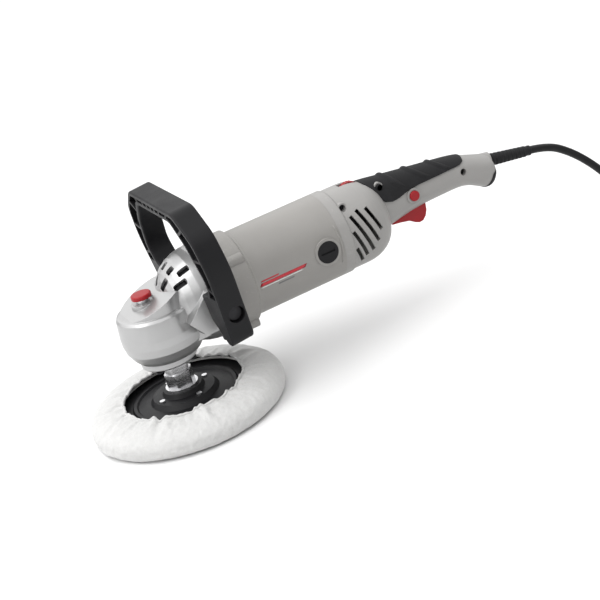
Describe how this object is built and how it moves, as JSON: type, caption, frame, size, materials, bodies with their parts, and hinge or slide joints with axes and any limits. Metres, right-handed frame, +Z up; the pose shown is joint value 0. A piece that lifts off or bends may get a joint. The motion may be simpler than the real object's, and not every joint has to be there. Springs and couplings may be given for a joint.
{
  "type": "rotary polisher",
  "caption": "Corded rotary polisher with a bow handle, a cloth bonnet on a backing pad, a trigger handle and a thumbwheel speed dial.",
  "frame": {"origin": "centre of the bonnet's polishing face, on the spindle axis", "axes": "+Z up the spindle away from the work, +X back along the motor axis to the cable, +Y to the side away from the lock-on button"},
  "size_m": [0.7245, 0.2403, 0.2011],
  "materials": {
    "bonnet_pile": "woolly white pile",
    "cord_white": "braided",
    "foam": "soft open foam",
    "pad_plate": "moulded satin black",
    "bright_steel": "turned, bright",
    "dark_screws": "blackened",
    "gear_steel": "hardened and ground",
    "bearing_steel": "ground",
    "spring_steel": "drawn wire",
    "cast_silver": "silver-lacquered casting, satin",
    "housing_grey": "warm grey glass-filled plastic, fine grain",
    "rear_grey": "light grey glass-filled plastic, fine grain",
    "black_plastic": "satin black",
    "black_rubber": "soft matt overmould",
    "cord_black": "smooth satin",
    "red_plastic": "semi-gloss red",
    "brass": "bright",
    "copper": "enamelled copper",
    "lamination": "stacked sheet",
    "carbon": "pressed carbon"
  },
  "bodies": {
    "housing": {"bearing_flange": "cast_silver", "brush_caps": "black_plastic", "brush_holders": "brass", "brush_springs": "spring_steel", "cable_boot": "black_rubber", "cable_clamp": "black_plastic", "carbon_brushes": "carbon", "clamshell_screws": "dark_screws", "control_module": "black_plastic", "cord_coil": "cord_black", "d_handle": "black_plastic", "field_core": "lamination", "field_windings": "copper", "front_bearing": "bearing_steel", "front_bearing_plate": "cast_silver", "gear_head_screws": "dark_screws", "gear_housing": "cast_silver", "handle_bolts": "dark_screws", "handle_grip": "black_rubber", "inner_lead": "cord_black", "lock_on_spring": "spring_steel", "lock_spring": "spring_steel", "lower_bearing": "bearing_steel", "motor_housing": "housing_grey", "oil_seal": "black_rubber", "plug": "cord_black", "plug_lead": "cord_black", "plug_pins": "brass", "power_cord": "cord_black", "rear_bearing": "bearing_steel", "rear_bearing_bush": "black_rubber", "rear_bumper": "black_rubber", "rear_housing_left": "rear_grey", "rear_housing_right": "rear_grey", "switch_body": "black_plastic", "trigger_pin": "bright_steel", "trigger_spring": "spring_steel", "upper_bearing": "bearing_steel"},
    "spindle": {"polishing_bonnet": "bonnet_pile", "drawstring": "cord_white", "foam_pad": "foam", "backing_pad": "pad_plate", "hub_rivets": "bright_steel", "hub_washer": "bright_steel", "pad_hub": "bright_steel", "spindle": "bright_steel", "gear_key": "bright_steel", "crown_gear": "gear_steel", "gear_circlip": "bright_steel"},
    "armature": {"armature_shaft": "gear_steel", "drive_pinion": "gear_steel", "cooling_fan": "black_plastic", "armature_core": "lamination", "armature_windings": "copper", "commutator": "copper"},
    "trigger_lever": {"trigger": "red_plastic"},
    "lock_on": {"lock_on_button": "red_plastic"},
    "spindle_lock": {"spindle_lock_button": "red_plastic", "spindle_lock_pin": "bright_steel"},
    "dial": {"speed_dial": "red_plastic"}
  },
  "joints": [
    {"name": "spindle_spin", "type": "hinge", "parent": "housing", "child": "spindle", "pos_m": [0, 0, 0.05], "axis": [0, 0, 1], "continuous": true},
    {"name": "armature_spin", "type": "hinge", "parent": "housing", "child": "armature", "pos_m": [0.11, 0, 0.1024], "axis": [1, 0, 0], "continuous": true},
    {"name": "trigger_pivot", "type": "hinge", "parent": "housing", "child": "trigger_lever", "pos_m": [0.246, 0, 0.094], "axis": [0, -1, 0], "range_deg": [0, 6], "stiffness_Nm_per_rad": 0.5, "springref_deg": -5.73, "deforming": ["trigger_spring"]},
    {"name": "lock_on_press", "type": "slide", "parent": "housing", "child": "lock_on", "axis": [0, 1, 0], "range_m": [0, 0.003], "stiffness_N_per_m": 300, "springref_m": -0.002, "deforming": ["lock_on_spring"]},
    {"name": "spindle_lock_press", "type": "slide", "parent": "housing", "child": "spindle_lock", "axis": [0, 0, -1], "range_m": [0, 0.004], "stiffness_N_per_m": 800, "springref_m": -0.003, "deforming": ["lock_spring"]},
    {"name": "speed_dial_turn", "type": "hinge", "parent": "housing", "child": "dial", "pos_m": [0.212, 0, 0.1316], "axis": [0, 1, 0], "range_deg": [0, 270]}
  ],
  "couplings": [
    {"joint": "armature_spin", "follows": "spindle_spin", "ratio": 4.5556}
  ]
}
